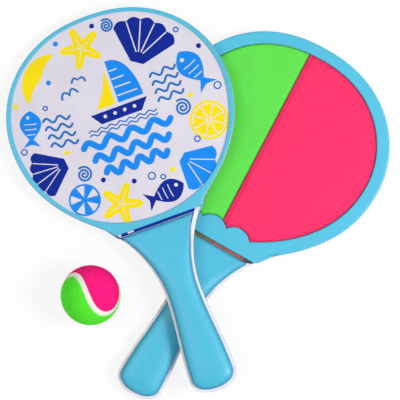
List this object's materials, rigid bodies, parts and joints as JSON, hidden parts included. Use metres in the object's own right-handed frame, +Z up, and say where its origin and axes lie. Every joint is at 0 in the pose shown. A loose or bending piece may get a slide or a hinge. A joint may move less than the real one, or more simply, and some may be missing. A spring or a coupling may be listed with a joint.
{
  "type": "hook and loop catch set",
  "caption": "Beach catch set: crossed wooden paddles with a printed face, a hook and loop catching face and a domed handle, and a felt-covered ball lying beside them.",
  "frame": {"origin": "on the floor, in the middle of the set's plan box", "axes": "+Z up; +Y points from the handles' ends towards the heads, +X to the right as the picture shows the set"},
  "size_m": [0.3842, 0.392, 0.0597],
  "materials": {
    "board_wood": "plywood, bare on its faces, with a pale painted edge",
    "print_film": "satin printed film, pale ground with navy, azure and yellow ink",
    "blue_foam": "smooth light blue closed-cell foam, softly rounded edge",
    "pink_loop_pile": "short brushed loop pile",
    "green_loop_pile": "short brushed loop pile",
    "blue_grip": "satin soft-touch moulding",
    "ball_foam": "foam core, not seen",
    "pink_felt": "short felt",
    "green_felt": "short felt",
    "ball_seam": "matt off-white seam compound"
  },
  "bodies": {
    "root": {"front_paddle_board": "board_wood", "front_paddle_print_film": "print_film", "front_paddle_print_rim": "blue_foam", "front_paddle_hook_rim": "blue_foam", "front_paddle_pink_pad": "pink_loop_pile", "front_paddle_green_pad": "green_loop_pile", "front_paddle_print_grip": "blue_grip", "front_paddle_hook_grip": "blue_grip", "rear_paddle_board": "board_wood", "rear_paddle_print_film": "print_film", "rear_paddle_print_rim": "blue_foam", "rear_paddle_hook_rim": "blue_foam", "rear_paddle_pink_pad": "pink_loop_pile", "rear_paddle_green_pad": "green_loop_pile", "rear_paddle_print_grip": "blue_grip", "rear_paddle_hook_grip": "blue_grip", "ball_core": "ball_foam", "ball_pink_felt": "pink_felt", "ball_green_felt": "green_felt", "ball_seam": "ball_seam"}
  },
  "joints": []
}
